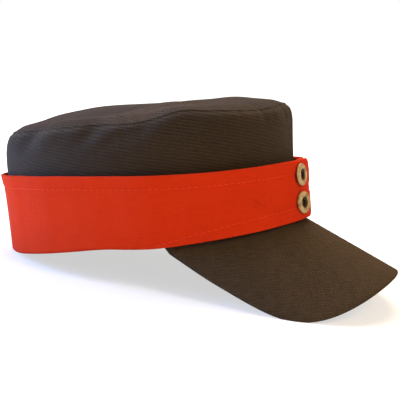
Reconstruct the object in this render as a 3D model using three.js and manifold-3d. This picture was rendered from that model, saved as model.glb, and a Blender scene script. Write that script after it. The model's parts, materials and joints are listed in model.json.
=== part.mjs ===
// An alpine hunting cap: a soft oval crown of brown canvas, a red flap turned up round it and closed
// at the front with two horn buttons, and a long arched peak. It lies as it would on a table, on the
// fold at the back of the flap and on the two sides of the peak. Millimetres, +Z up, front towards +X.
// The pieces are made on the level cap, whose head opening is the plane z = 0, and then tipped to rest.
import * as THREE from "three";
import { mergeVertices } from "three/addons/utils/BufferGeometryUtils.js";
import Module from "manifold-3d";

const wasm = await Module();
wasm.setup();

// Crown, measured on the outer face of its side wall.
const CROWN_HALF_LENGTH = 100;
const CROWN_HALF_WIDTH = 85;
const CROWN_EGG = 0.04; // share by which the oval is wider behind its middle than before it
const CANVAS = 1.6; // crown cloth with its facing
const SEAM_GAP = 0.3; // air between pieces that are sewn together
const TOP_MIDDLE = 89.3; // middle of the top panel
const TOP_FULLNESS = { back: 3.2, front: 4.4 }; // exponent of its rise: higher is flatter in the middle

// The side's outer face from foot (share 0) to seam (share 1): how far it swells out of the plain oval.
const CROWN_PROFILE = [
  { share: 0, back: 0, front: 0 },
  { share: 0.25, back: 0.1, front: 0.4 },
  { share: 0.5, back: 0.4, front: 1.2 },
  { share: 0.65, back: 0.8, front: 1.8 },
  { share: 0.75, back: 1, front: 2.3 },
  { share: 0.84, back: 1.1, front: 2.6 },
  { share: 0.91, back: 0.7, front: 2.1 },
  { share: 0.96, back: -0.8, front: 0.6 },
  { share: 1, back: -3, front: -2 },
];

// Height of the seam between side and top, by degrees from the front.
const SEAM_HEIGHT = [
  { around: 0, height: 80.3 },
  { around: 55, height: 80.9 },
  { around: 92, height: 79.2 },
  { around: 130, height: 77.9 },
  { around: 180, height: 77.5 },
];

// Soft dents of the crown's side: where they are, how far they reach and how deep they go.
const SIDE_DENTS = [
  { around: -158, height: 68, halfAround: 10, halfHeight: 16, depth: 1.2 },
  { around: -132, height: 69, halfAround: 9, halfHeight: 16, depth: 2.2 },
  { around: -108, height: 70, halfAround: 9, halfHeight: 15, depth: 2 },
  { around: -84, height: 72, halfAround: 10, halfHeight: 14, depth: 1.6 },
  { around: 70, height: 71, halfAround: 14, halfHeight: 16, depth: 1.8 },
  { around: 120, height: 69, halfAround: 12, halfHeight: 17, depth: 2 },
];

// Soft swells and hollows of the top panel: middle, reach and height.
const TOP_SWELLS = [
  { x: -25, y: 0, reach: 30, rise: 1.8 },
  { x: 34, y: 10, reach: 26, rise: -0.8 },
  { x: -52, y: -46, reach: 22, rise: -1.4 },
  { x: 20, y: 52, reach: 24, rise: -1.2 },
];

// Flap: one strip of red cloth, folded at the bottom and buttoned at the front.
const FLAP_CLOTH = 2;
const FLAP_FOLD = 2; // outer radius of the bottom fold
const FLAP_CORNER = 9; // radius of the corners at both ends
const FLAP_STAND_OFF = { foldBack: 3.7, foldFront: 6.8, topBack: 5.5, topFront: 7.2 }; // outer face from the crown
const FLAP_LAP = 2.7; // the right end lies this much further out, over the left end
const FLAP_LAP_RUN = 34; // degrees over which the right end eases outwards
const FLAP_RIGHT_END = 6; // degrees past the middle of the front
const FLAP_LEFT_END = 12; // degrees past the middle, hidden under the right end
const FLAP_SEWN = { from: 80, to: 85 }; // degrees over which the fold comes to lie under the crown

// Heights of the flap's upper edge, and of its lower edge: free before the fold begins, folded behind.
const FLAP_EDGES = [
  { around: 0, upper: 42.8, lower: 3.1 },
  { around: 30, upper: 42.4, lower: 2.3 },
  { around: 55, upper: 42.7, lower: 1.2 },
  { around: 75, upper: 44.4, lower: -0.6 },
  { around: 92, upper: 46.7, lower: -0.4 },
  { around: 111, upper: 49, lower: -0.9 },
  { around: 140, upper: 50.7, lower: -2.2 },
  { around: 180, upper: 51.2, lower: -2.8 },
];

// Peak: a stiff sheet bent to a cylinder whose ridge slopes down to the front.
const PEAK_SLOPE = 34; // degrees below the plane of the head opening
const PEAK_ARCH = 100; // radius of the bend, on the upper face
const PEAK_ROOT_HEIGHT = 5.3; // upper face at the middle of the crown's front wall
const PEAK_LENGTH = 79; // ridge, from the crown's front wall to the edge
const PEAK_HALF_WIDTH = 84.8;
const PEAK_BACK = -44; // where the side edges start, along the slope
const PEAK_BOARD = 2.8; // thickness
const PEAK_ROOT_END = 76; // degrees from the front where the seam to the crown ends
const PEAK_SWEEP = 1.8; // exponents of the outline: sweep of the front edge,
const PEAK_SQUARE = 7; // and squareness of its corners
const FOOT_STEP = { from: 85, to: 90 }; // degrees over which the crown's lower edge leaves the peak

// Buttons of horn, with a dished middle and two holes for the thread.
const BUTTON_RADIUS = 8;
const BUTTON_THICK = 3.6;
const BUTTON_DISH_RADIUS = 4.3;
const BUTTON_DISH = 1.7;
const BUTTON_HOLE_RADIUS = 0.8;
const BUTTON_HOLE_SPACING = 3.4;
const BUTTON_ANGLE = -8; // degrees from the middle of the front
const BUTTONS = [
  { name: "button_upper", height: 33, turn: 2 },
  { name: "button_lower", height: 13, turn: -6 },
];

// Cloth is pressed flat by this much where the cap rests.
const REST_FLATTEN = 0.5;

const rad = THREE.MathUtils.degToRad;
const mix = THREE.MathUtils.lerp;
const smooth = (x) => THREE.MathUtils.smoothstep(x, 0, 1);

// 0 at the back, 1 at the front.
const frontShare = (angle) => (1 + Math.cos(rad(angle))) / 2;

// Degrees from the front, whichever way round.
const fromFront = (angle) => Math.abs(THREE.MathUtils.euclideanModulo(angle + 180, 360) - 180);

// A value between the rows of a table, along a smooth curve through them.
function between(table, column, angle) {
  const x = fromFront(angle);
  const last = table.length - 2;
  const i = Math.min(table.findLastIndex((row) => row.around <= x), last);
  const at = (k) => table[Math.min(Math.max(k, 0), table.length - 1)];
  const slope = (k) => (at(k + 1)[column] - at(k - 1)[column]) / (at(k + 1).around - at(k - 1).around);
  const width = at(i + 1).around - at(i).around;
  const u = THREE.MathUtils.clamp((x - at(i).around) / width, 0, 1);
  const v = 1 - u;
  const start = i === 0 ? 0 : slope(i);
  const end = i === last ? 0 : slope(i + 1);
  const straight = at(i)[column] * (1 + 2 * u) * v * v + at(i + 1)[column] * (1 + 2 * v) * u * u;
  return straight + width * u * v * (start * v - end * u);
}

// A point of the crown's oval, moved outwards. The angle runs from the front towards the wearer's left.
function ovalPoint(angle, out) {
  const c = Math.cos(rad(angle));
  const s = Math.sin(rad(angle));
  const normal = new THREE.Vector2(
    CROWN_HALF_WIDTH * (c - CROWN_EGG * (c * c - s * s)),
    CROWN_HALF_LENGTH * s,
  ).normalize();
  const wall = new THREE.Vector2(CROWN_HALF_LENGTH * c, CROWN_HALF_WIDTH * s * (1 - CROWN_EGG * c));
  return wall.addScaledVector(normal, out);
}

function place(angle, out, height) {
  const p = ovalPoint(angle, out);
  return new THREE.Vector3(p.x, p.y, height);
}

// Joins closed loops of points into one closed skin, either round in a ring or with a cap at each end.
function loft(loops, { ring = false } = {}) {
  const count = loops[0].length;
  const positions = loops.flat().flatMap((p) => [p.x, p.y, p.z]);
  const triangles = [];
  const joins = ring ? loops.length : loops.length - 1;
  for (let i = 0; i < joins; i++) {
    const a = i * count;
    const b = ((i + 1) % loops.length) * count;
    for (let j = 0; j < count; j++) {
      const k = (j + 1) % count;
      triangles.push(a + j, a + k, b + k, a + j, b + k, b + j);
    }
  }
  if (!ring) {
    const end = (loops.length - 1) * count;
    for (const [p, q, r] of capTriangles(count)) {
      triangles.push(p, r, q, end + p, end + q, end + r);
    }
  }
  return solidGeometry(positions, triangles);
}

// Triangles across a closed loop, as a ladder between its first half and its second half turned back.
function capTriangles(count) {
  const rungs = [];
  for (let j = 0; j < count / 2 - 1; j++) {
    const far = count - 1 - j;
    rungs.push([j, j + 1, far - 1], [j, far - 1, far]);
  }
  return rungs;
}

// A geometry whose faces point out, whichever way the loops ran.
function solidGeometry(positions, triangles) {
  const corner = (i) => new THREE.Vector3().fromArray(positions, 3 * triangles[i]);
  let volume = 0;
  for (let i = 0; i < triangles.length; i += 3) {
    volume += corner(i).dot(corner(i + 1).cross(corner(i + 2)));
  }
  const geometry = new THREE.BufferGeometry();
  geometry.setAttribute("position", new THREE.Float32BufferAttribute(positions, 3));
  geometry.setIndex(volume < 0 ? triangles.toReversed() : triangles);
  geometry.computeVertexNormals();
  return geometry;
}

// Cuts a second closed geometry out of the first.
function cut(geometry, tool) {
  const [body, knife] = [geometry, tool].map((g) => {
    const bare = new THREE.BufferGeometry().setAttribute("position", g.getAttribute("position").clone());
    bare.setIndex(g.index.clone());
    const merged = mergeVertices(bare, 1e-4);
    return new wasm.Manifold(
      new wasm.Mesh({
        numProp: 3,
        vertProperties: new Float32Array(merged.attributes.position.array),
        triVerts: new Uint32Array(merged.index.array),
      }),
    );
  });
  const mesh = body.subtract(knife).getMesh();
  const result = new THREE.BufferGeometry();
  result.setAttribute("position", new THREE.Float32BufferAttribute(mesh.vertProperties, 3));
  result.setIndex(new THREE.BufferAttribute(mesh.triVerts, 1));
  result.computeVertexNormals();
  return result;
}

// Peak

// How far the bent sheet falls below its ridge, across.
const peakDrop = (across) => PEAK_ARCH - Math.sqrt(PEAK_ARCH ** 2 - across ** 2);

// Height of the peak's upper face over a point of the plan.
function peakHeight(p) {
  const ahead = p.x - CROWN_HALF_LENGTH;
  const slope = rad(PEAK_SLOPE);
  return PEAK_ROOT_HEIGHT - peakDrop(p.y) / Math.cos(slope) - ahead * Math.tan(slope);
}

// A point of the sheet: along the slope, across, and at a depth below the upper face.
function peakPoint(along, across, depth) {
  const slope = rad(PEAK_SLOPE);
  const bend = Math.asin(across / PEAK_ARCH);
  const fall = peakDrop(across) + depth * Math.cos(bend);
  return new THREE.Vector3(
    CROWN_HALF_LENGTH + along * Math.cos(slope) - fall * Math.sin(slope),
    across - depth * Math.sin(bend),
    PEAK_ROOT_HEIGHT - along * Math.sin(slope) - fall * Math.cos(slope),
  );
}

// Where the seam to the crown lies on the sheet, as (along, across).
function peakRoot(angle) {
  const p = ovalPoint(angle, -CANVAS);
  const slope = rad(PEAK_SLOPE);
  const along = (p.x - CROWN_HALF_LENGTH) / Math.cos(slope) + peakDrop(p.y) * Math.tan(slope);
  return new THREE.Vector2(along, p.y);
}

// The free edge of the sheet, from one side (-1) round the front (0) to the other (1).
function peakEdge(share) {
  const turn = share * (Math.PI / 2);
  const across = Math.sign(share) * PEAK_HALF_WIDTH * Math.abs(Math.sin(turn)) ** (2 / PEAK_SWEEP);
  const along = PEAK_BACK + (PEAK_LENGTH - PEAK_BACK) * Math.abs(Math.cos(turn)) ** (2 / PEAK_SQUARE);
  return new THREE.Vector2(along, across);
}

function makePeak() {
  const COLUMNS = 44;
  const ROWS = [0, 0.06, 0.2, 0.4, 0.6, 0.8, 0.94];
  const RIM = [
    { back: 0.7, depth: 0 },
    { back: 0, depth: 0.3 },
    { back: 0, depth: 0.7 },
    { back: 0.7, depth: 1 },
  ]; // millimetres back from the edge, and depth as a share of the board
  const loops = [];
  for (let i = 0; i <= COLUMNS; i++) {
    const share = (2 * i) / COLUMNS - 1;
    const spread = Math.sign(share) * (1 - (1 - Math.abs(share)) ** 1.6);
    const root = peakRoot(share * PEAK_ROOT_END);
    const edge = peakEdge(spread);
    const width = edge.distanceTo(root);
    const on = (distance, depth) => {
      const p = root.clone().lerp(edge, distance / width);
      return peakPoint(p.x, p.y, depth);
    };
    loops.push([
      ...ROWS.map((r) => on(r * (width - 0.7), 0)),
      ...RIM.map((row) => on(width - row.back, row.depth * PEAK_BOARD)),
      ...ROWS.toReversed().map((r) => on(r * (width - 0.7), PEAK_BOARD)),
    ]);
  }
  return loft(loops);
}

// Crown

const seamHeight = (angle) => between(SEAM_HEIGHT, "height", angle);

// Lower end of the side wall: on the peak in front, on the flap's fold behind.
function crownFoot(angle, out) {
  const onPeak = peakHeight(ovalPoint(Math.min(fromFront(angle), FOOT_STEP.from), out)) + SEAM_GAP;
  const onFold = between(FLAP_EDGES, "lower", angle) + FLAP_CLOTH + 2 * SEAM_GAP;
  return mix(onPeak, onFold, smooth((fromFront(angle) - FOOT_STEP.from) / (FOOT_STEP.to - FOOT_STEP.from)));
}

// How far the side's outer face stands from the plain oval: its swell, and the dents in it.
function sideOut(angle, row, height) {
  let out = mix(row.back, row.front, frontShare(angle));
  for (const dent of SIDE_DENTS) {
    const across = fromFront(angle - dent.around) / dent.halfAround;
    const along = (height - dent.height) / dent.halfHeight;
    out -= dent.depth * Math.exp(-across * across - along * along);
  }
  return out;
}

function makeCrownSide() {
  const SEGMENTS = 72;
  const loops = [];
  for (let i = 0; i < SEGMENTS; i++) {
    const angle = (360 * i) / SEGMENTS;
    const face = (inward) =>
      CROWN_PROFILE.map((row) => {
        const height = mix(crownFoot(angle, -inward), seamHeight(angle), row.share);
        return place(angle, sideOut(angle, row, height) - inward, height);
      });
    loops.push([...face(0), ...face(CANVAS).toReversed()]);
  }
  return loft(loops, { ring: true });
}

// Height of the top panel's upper face, at a share of the way from its middle to the seam.
function topHeight(p, angle, share) {
  const fullness = mix(TOP_FULLNESS.back, TOP_FULLNESS.front, frontShare(angle));
  const rim = seamHeight(angle) + SEAM_GAP + CANVAS;
  let height = mix(TOP_MIDDLE, rim, share ** fullness);
  for (const swell of TOP_SWELLS) {
    const away = Math.hypot(p.x - swell.x, p.y - swell.y) / swell.reach;
    height += swell.rise * Math.exp(-away * away) * (1 - share ** 6);
  }
  return height;
}

function makeCrownTop() {
  const SEGMENTS = 72;
  const SHARES = [0.04, 0.25, 0.45, 0.62, 0.76, 0.87, 0.94, 0.985];
  const RIM_BEVEL = 0.7;
  const seam = CROWN_PROFILE.at(-1);
  const ring = (share, depth) =>
    Array.from({ length: SEGMENTS }, (_, i) => {
      const angle = (360 * i) / SEGMENTS;
      const rim = ovalPoint(angle, sideOut(angle, seam, seamHeight(angle)));
      const p = rim.multiplyScalar(share);
      return new THREE.Vector3(p.x, p.y, topHeight(p, angle, share) - depth);
    });
  return loft([
    ...SHARES.map((share) => ring(share, CANVAS)),
    ring(1, CANVAS),
    ring(1, RIM_BEVEL),
    ...SHARES.toReversed().map((share) => ring(share, 0)),
  ]);
}

// Flap. The strip is followed by the degrees of travel from its right end.

const FLAP_TRAVEL = FLAP_RIGHT_END + 360 + FLAP_LEFT_END;

// The outer face of the flap from the crown's oval, at a share of its height.
function flapOut(travel, share) {
  const front = frontShare(FLAP_RIGHT_END - travel) ** 0.6;
  const s = FLAP_STAND_OFF;
  const lap = FLAP_LAP * smooth(1 - travel / FLAP_LAP_RUN);
  return mix(mix(s.foldBack, s.foldFront, front), mix(s.topBack, s.topFront, front), share ** 3) + lap;
}

// One cross-section of the strip. Its fold is sewn under the crown behind, and is a plain hem in front.
function flapSection(travel) {
  const BEVEL = 0.6;
  const HEM = 0.8;
  const WALL_ROWS = [0.2, 0.42, 0.64, 0.84];
  const angle = FLAP_RIGHT_END - travel;
  const sewn = smooth((fromFront(angle) - FLAP_SEWN.from) / (FLAP_SEWN.to - FLAP_SEWN.from));
  const endDistance = rad(Math.min(travel, FLAP_TRAVEL - travel)) * CROWN_HALF_WIDTH;
  const inCorner = Math.max(FLAP_CORNER - endDistance, 0);
  const corner = FLAP_CORNER - Math.sqrt(FLAP_CORNER ** 2 - inCorner ** 2);
  const low = between(FLAP_EDGES, "lower", angle) + corner;
  const high = between(FLAP_EDGES, "upper", angle) - corner;
  const fold = mix(HEM, FLAP_FOLD, sewn);
  const wall = (share, inward) => [flapOut(travel, share) - inward, mix(low, high, share)];
  const foot = flapOut(travel, 0);
  const head = flapOut(travel, 1);
  const section = [
    [foot - fold, low],
    [foot - 0.3 * fold, low + 0.3 * fold],
    [foot, low + fold],
    ...WALL_ROWS.map((share) => wall(share, 0)),
    [head, high - BEVEL],
    [head - BEVEL, high],
    [head - FLAP_CLOTH + BEVEL, high],
    [head - FLAP_CLOTH, high - BEVEL],
    ...WALL_ROWS.toReversed().map((share) => wall(share, FLAP_CLOTH)),
    [foot - FLAP_CLOTH, low + mix(2 * HEM, FLAP_CLOTH + SEAM_GAP, sewn)],
    [mix(foot - FLAP_CLOTH, -CANVAS, sewn), low + mix(HEM, FLAP_CLOTH, sewn)],
    [mix(foot - FLAP_CLOTH + BEVEL, -CANVAS, sewn), low],
  ];
  return section.map(([out, height]) => place(angle, out, height));
}

function makeFlap() {
  const STEPS = 76;
  const END_STEPS = [0, 0.4, 1.1, 2.2, 3.8]; // degrees, closer together at the rounded ends
  const END = 6.1;
  const travels = [
    ...END_STEPS,
    ...Array.from({ length: STEPS + 1 }, (_, i) => mix(END, FLAP_TRAVEL - END, i / STEPS)),
    ...END_STEPS.toReversed().map((step) => FLAP_TRAVEL - step),
  ];
  return loft(travels.map(flapSection));
}

// Buttons

function makeButton() {
  const SIDES = 20;
  const HOLE_SIDES = 8;
  const dishFloor = BUTTON_THICK - BUTTON_DISH;
  const profile = [
    [0, 0],
    [BUTTON_RADIUS - 1.2, 0],
    [BUTTON_RADIUS - 0.2, 0.9],
    [BUTTON_RADIUS, 1.9],
    [BUTTON_RADIUS - 0.5, 3],
    [BUTTON_RADIUS - 1.6, BUTTON_THICK],
    [BUTTON_DISH_RADIUS + 0.5, BUTTON_THICK - 0.2],
    [BUTTON_DISH_RADIUS - 0.2, dishFloor + 0.7],
    [BUTTON_DISH_RADIUS - 1.1, dishFloor],
    [0, dishFloor],
  ].map(([r, h]) => new THREE.Vector2(r, h));
  let disc = new THREE.LatheGeometry(profile, SIDES).rotateX(Math.PI / 2);
  for (const side of [-1, 1]) {
    const hole = new THREE.CylinderGeometry(BUTTON_HOLE_RADIUS, BUTTON_HOLE_RADIUS, 4 * BUTTON_THICK, HOLE_SIDES)
      .rotateX(Math.PI / 2)
      .translate((side * BUTTON_HOLE_SPACING) / 2, 0, 0);
    disc = cut(disc, hole);
  }
  return disc;
}

// Turns and moves a button from its own axis to its seat on the flap's outer face.
function seatButton(mesh, { height, turn }) {
  const travel = FLAP_RIGHT_END - BUTTON_ANGLE;
  const low = between(FLAP_EDGES, "lower", BUTTON_ANGLE);
  const high = between(FLAP_EDGES, "upper", BUTTON_ANGLE);
  const seat = flapOut(travel, (height - low) / (high - low)) + 2 * SEAM_GAP;
  const position = place(BUTTON_ANGLE, seat, height);
  const outward = place(BUTTON_ANGLE, seat + 1, height).sub(position);
  const heading = Math.atan2(outward.y, outward.x) + rad(turn);
  mesh.position.copy(position);
  mesh.quaternion
    .setFromAxisAngle(new THREE.Vector3(0, 0, 1), heading)
    .multiply(new THREE.Quaternion().setFromAxisAngle(new THREE.Vector3(0, 1, 0), Math.PI / 2));
}

// Rest

// Lowest point of a level geometry once the cap is tipped nose up by the pitch.
function lowest(geometry, pitch) {
  const p = geometry.getAttribute("position");
  let low = Infinity;
  for (let i = 0; i < p.count; i++) {
    low = Math.min(low, p.getX(i) * Math.sin(pitch) + p.getZ(i) * Math.cos(pitch));
  }
  return low;
}

// The pitch at which the flap's fold and the sides of the peak touch the table together.
function restPitch(flap, peak) {
  let [less, more] = [0, rad(30)];
  for (let i = 0; i < 40; i++) {
    const pitch = (less + more) / 2;
    if (lowest(peak, pitch) < lowest(flap, pitch)) less = pitch;
    else more = pitch;
  }
  return less;
}

function named(name, geometry, color, roughness) {
  const mesh = new THREE.Mesh(geometry, new THREE.MeshStandardMaterial({ color, roughness, metalness: 0 }));
  mesh.name = name;
  return mesh;
}

const CANVAS_BROWN = 0x46362a;
const FLAP_RED = 0xcc3214;
const HORN = 0xb0925f;

const flap = makeFlap();
const peak = makePeak();
const pitch = restPitch(flap, peak);
const tip = new THREE.Matrix4().makeRotationY(-pitch);
const table = new THREE.BoxGeometry(600, 600, 100)
  .translate(0, 0, lowest(flap, pitch) + REST_FLATTEN - 50)
  .applyMatrix4(tip.clone().invert());

const cap = new THREE.Group();
cap.add(
  named("crown_side", makeCrownSide(), CANVAS_BROWN, 0.9),
  named("crown_top", makeCrownTop(), CANVAS_BROWN, 0.9),
  named("turn_up_flap", cut(flap, table), FLAP_RED, 0.85),
  named("peak", cut(peak, table), CANVAS_BROWN, 0.9),
);
for (const row of BUTTONS) {
  const button = named(row.name, makeButton(), HORN, 0.55);
  seatButton(button, row);
  cap.add(button);
}

// The tipped cap, moved so that the middle of its footprint is the origin and the table is z = 0.
cap.applyMatrix4(tip);
const box = new THREE.Box3().setFromObject(cap, true);
const middle = box.getCenter(new THREE.Vector3());
cap.position.sub(new THREE.Vector3(middle.x, middle.y, box.min.z));

const part = new THREE.Group();
part.add(cap);
export default part;
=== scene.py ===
# %% [markdown]
# # An alpine hunting cap in canvas and red cloth
# The cap has a soft oval crown of brown canvas, a red flap turned up round it and closed in front with
# two horn buttons, and a long arched peak. It lies on a table, on the fold at the back of the flap and
# on both sides of the peak. First the measured solids are loaded: they say where every piece goes.

# %% Load the measured solids
import json
import math

import bpy
from mathutils import Matrix, Vector, noise


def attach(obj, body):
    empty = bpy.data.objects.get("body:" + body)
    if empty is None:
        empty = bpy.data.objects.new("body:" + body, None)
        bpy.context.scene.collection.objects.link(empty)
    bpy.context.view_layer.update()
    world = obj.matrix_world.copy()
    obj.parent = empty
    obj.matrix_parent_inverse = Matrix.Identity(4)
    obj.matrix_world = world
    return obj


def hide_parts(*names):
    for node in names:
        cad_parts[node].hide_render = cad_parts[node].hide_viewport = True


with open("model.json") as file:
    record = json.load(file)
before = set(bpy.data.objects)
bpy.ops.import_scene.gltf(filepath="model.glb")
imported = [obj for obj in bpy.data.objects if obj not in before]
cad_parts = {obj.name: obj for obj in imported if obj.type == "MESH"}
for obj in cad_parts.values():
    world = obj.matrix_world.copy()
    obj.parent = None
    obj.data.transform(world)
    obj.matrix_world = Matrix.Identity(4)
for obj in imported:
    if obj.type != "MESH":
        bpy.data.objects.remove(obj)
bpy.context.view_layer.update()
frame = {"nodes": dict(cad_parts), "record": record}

print("nodes:", sorted(frame["nodes"]))

# %% [markdown]
# ## Working on the level cap
# A hatter thinks of the cap as it is worn: the head opening level, the front ahead. On the table the cap
# is tipped nose up, so every piece is shaped on the level cap, in millimetres, and one matrix then lays
# it down. The matrix comes from the opening that the record states: its middle, and the way it faces.

# %% From the level cap to the table
MM = 0.001
opening = next(m for m in frame["record"]["mounts"] if m["name"] == "head_opening")
cap_up = -Vector(opening["axis"])
cap_left = Vector((0, 1, 0))
cap_ahead = cap_left.cross(cap_up)
lay_down = Matrix((cap_ahead, cap_left, cap_up)).transposed().to_4x4()
lay_down.translation = Vector(opening["pos_m"])
lay_down = lay_down @ Matrix.Scale(MM, 4)
print("nose up by", round(math.degrees(math.asin(cap_ahead.z)), 2), "degrees")


def on_table(point):
    """A point of the level cap, laid on the table. Cloth that would sink into the table is pressed flat."""
    laid = lay_down @ Vector(point)
    laid.z = max(laid.z, 0)
    return laid


# %% [markdown]
# ## The oval of the head
# Crown, flap and peak all follow one oval, a little wider behind than in front. Places round it are given
# in degrees from the front, positive towards the wearer's left. Heights and stand-offs that change round
# the cap are short tables, read along a smooth curve.

# %% The oval, and tables read round it
HALF_LENGTH = 100
HALF_WIDTH = 85
EGG = 0.04
MEAN_RADIUS = 93


def mix(a, b, share):
    return a + (b - a) * share


def smooth(x):
    x = min(max(x, 0), 1)
    return x * x * (3 - 2 * x)


def bump(x):
    """A soft hill of height 1 that is gone about two units from its middle."""
    return math.exp(-x * x)


def from_front(angle):
    return abs((angle + 180) % 360 - 180)


def front_share(angle):
    return (1 + math.cos(math.radians(angle))) / 2


def read(table, x):
    """A value between the rows (x, value) of a table, along a smooth curve through them."""
    last = len(table) - 2
    i = min(max(k for k in range(len(table)) if table[k][0] <= x or k == 0), last)
    (x0, a), (x1, b) = table[i], table[i + 1]
    width = x1 - x0
    u = min(max((x - x0) / width, 0), 1)
    v = 1 - u

    def slope(k):
        (xa, ya), (xb, yb) = table[k - 1], table[k + 1]
        return (yb - ya) / (xb - xa)

    start = slope(i) if i > 0 else 0
    end = slope(i + 1) if i < last else 0
    return a * (1 + 2 * u) * v * v + b * (1 + 2 * v) * u * u + width * u * v * (start * v - end * u)


def oval_point(angle, out):
    c = math.cos(math.radians(angle))
    s = math.sin(math.radians(angle))
    normal = Vector((HALF_WIDTH * (c - EGG * (c * c - s * s)), HALF_LENGTH * s)).normalized()
    return Vector((HALF_LENGTH * c, HALF_WIDTH * s * (1 - EGG * c))) + out * normal


def level(angle, out, height):
    return Vector((*oval_point(angle, out), height))


def around_mm(angle):
    """How far round the cap an angle lies, as measured along the cloth."""
    return math.radians(angle) * MEAN_RADIUS


# %% [markdown]
# ## Cutting a cloth and laying it in place
# A piece of cloth starts as a grid: the flat cut, one unit long and wide. Each point of the grid is then
# laid where a function of its place in the cut says. The same function gives the place in millimetres of
# the cut, which becomes the UV map, so that a weave drawn in millimetres follows the cloth.

# %% A grid that becomes cloth
MERGE = 0.00002


def deselect():
    if bpy.context.object and bpy.context.object.mode != "OBJECT":
        bpy.ops.object.mode_set(mode="OBJECT")
    bpy.ops.object.select_all(action="DESELECT")


def name_new(name):
    """Names the object that was just made."""
    piece = bpy.context.object
    piece.name = name
    piece.data.name = name
    return piece


def put_in_scene(name, data):
    piece = bpy.data.objects.new(name, data)
    bpy.context.scene.collection.objects.link(piece)
    return piece


def cut_cloth(name, columns, rows, lay):
    """Lays a flat grid as cloth. lay(u, v) gives a point of the level cap and its place in the cut."""
    deselect()
    bpy.ops.mesh.primitive_grid_add(
        x_subdivisions=columns, y_subdivisions=rows, size=1, location=(0.5, 0.5, 0)
    )
    bpy.ops.object.transform_apply(location=True)
    piece = name_new(name)
    places = []
    for vertex in piece.data.vertices:
        point, place = lay(vertex.co.x, vertex.co.y)
        places.append(Vector(place) * MM)
        vertex.co = on_table(point)
    uv = piece.data.uv_layers.active.data
    for loop in piece.data.loops:
        uv[loop.index].uv = places[loop.vertex_index]
    return piece


def sew_shut(piece):
    """Joins edges that meet and turns all faces outwards."""
    bpy.ops.object.mode_set(mode="EDIT")
    bpy.ops.mesh.select_all(action="SELECT")
    bpy.ops.mesh.remove_doubles(threshold=MERGE)
    bpy.ops.mesh.normals_make_consistent(inside=False)
    bpy.ops.object.mode_set(mode="OBJECT")
    bpy.ops.object.shade_smooth()
    area = sum(face.area for face in piece.data.polygons)
    print(piece.name, "has", len(piece.data.polygons), "faces and", round(area, 4), "square metres")


def round_edges(piece, width, segments, angle):
    """Adds a Bevel to the edges that turn by more than an angle."""
    edge = piece.modifiers.new("rounded edge", "BEVEL")
    edge.width = width * MM
    edge.segments = segments
    edge.limit_method = "ANGLE"
    edge.angle_limit = angle


def apply_all(piece):
    bpy.context.view_layer.objects.active = piece
    for modifier in list(piece.modifiers):
        bpy.ops.object.modifier_apply(modifier=modifier.name)


# %% [markdown]
# ## The peak
# The peak is a stiff board between two layers of canvas, bent to a cylinder whose ridge slopes down to the
# front. Each column of the grid runs from the seam with the crown along the upper face, round the turned
# edge and back underneath. The edge gets a fine groove where the two layers are sewn together.

# %% Lay the peak
CANVAS = 1.6
SEAM_GAP = 0.3
PEAK_SLOPE = math.radians(34)
PEAK_ARCH = 100
PEAK_ROOT_HEIGHT = 5.3
PEAK_LENGTH = 79.6
PEAK_HALF_WIDTH = 84.8
PEAK_BACK = -44
PEAK_BOARD = 2.8
PEAK_ROOT_END = 76
PEAK_SWEEP = 1.8
PEAK_SQUARE = 7
PEAK_EDGE_GROOVE = 0.22
PEAK_GROOVE_ROWS = 0.7
PEAK_CORNER = 4
PEAK_CORNER_RUN = 0.012
PEAK_COLUMNS = 170
PEAK_END_CROWDING = 1.6
PEAK_TOP_ROWS = 26
PEAK_RIM_ROWS = 8
PEAK_UNDER_ROWS = 12


def peak_drop(across):
    return PEAK_ARCH - math.sqrt(PEAK_ARCH**2 - across**2)


def peak_height(point):
    ahead = point.x - HALF_LENGTH
    return PEAK_ROOT_HEIGHT - peak_drop(point.y) / math.cos(PEAK_SLOPE) - ahead * math.tan(PEAK_SLOPE)


def peak_point(along, across, depth):
    bend = math.asin(across / PEAK_ARCH)
    fall = peak_drop(across) + depth * math.cos(bend)
    return Vector((
        HALF_LENGTH + along * math.cos(PEAK_SLOPE) - fall * math.sin(PEAK_SLOPE),
        across - depth * math.sin(bend),
        PEAK_ROOT_HEIGHT - along * math.sin(PEAK_SLOPE) - fall * math.cos(PEAK_SLOPE),
    ))


def peak_root(angle):
    p = oval_point(angle, -CANVAS)
    along = (p.x - HALF_LENGTH) / math.cos(PEAK_SLOPE) + peak_drop(p.y) * math.tan(PEAK_SLOPE)
    return Vector((along, p.y))


def peak_edge(share):
    turn = abs(share) * math.pi / 2
    across = math.copysign(PEAK_HALF_WIDTH * math.sin(turn) ** (2 / PEAK_SWEEP), share)
    along = PEAK_BACK + (PEAK_LENGTH - PEAK_BACK) * math.cos(turn) ** (2 / PEAK_SQUARE)
    return Vector((along, across))


def peak_row(row, width):
    """Distance from the seam and depth below the upper face, for a row of the grid."""
    half = PEAK_BOARD / 2
    flat = width - half
    if row <= PEAK_TOP_ROWS:
        return flat * row / PEAK_TOP_ROWS, 0
    row -= PEAK_TOP_ROWS
    if row <= PEAK_RIM_ROWS:
        turn = math.pi * row / PEAK_RIM_ROWS
        groove = PEAK_EDGE_GROOVE * bump((row - PEAK_RIM_ROWS / 2) / PEAK_GROOVE_ROWS)
        reach = half - groove
        return flat + reach * math.sin(turn), half - half * math.cos(turn)
    row -= PEAK_RIM_ROWS
    if row <= PEAK_UNDER_ROWS:
        return flat * (1 - row / PEAK_UNDER_ROWS), PEAK_BOARD
    return 0, 0


PEAK_ROWS = PEAK_TOP_ROWS + PEAK_RIM_ROWS + PEAK_UNDER_ROWS + 1


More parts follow.
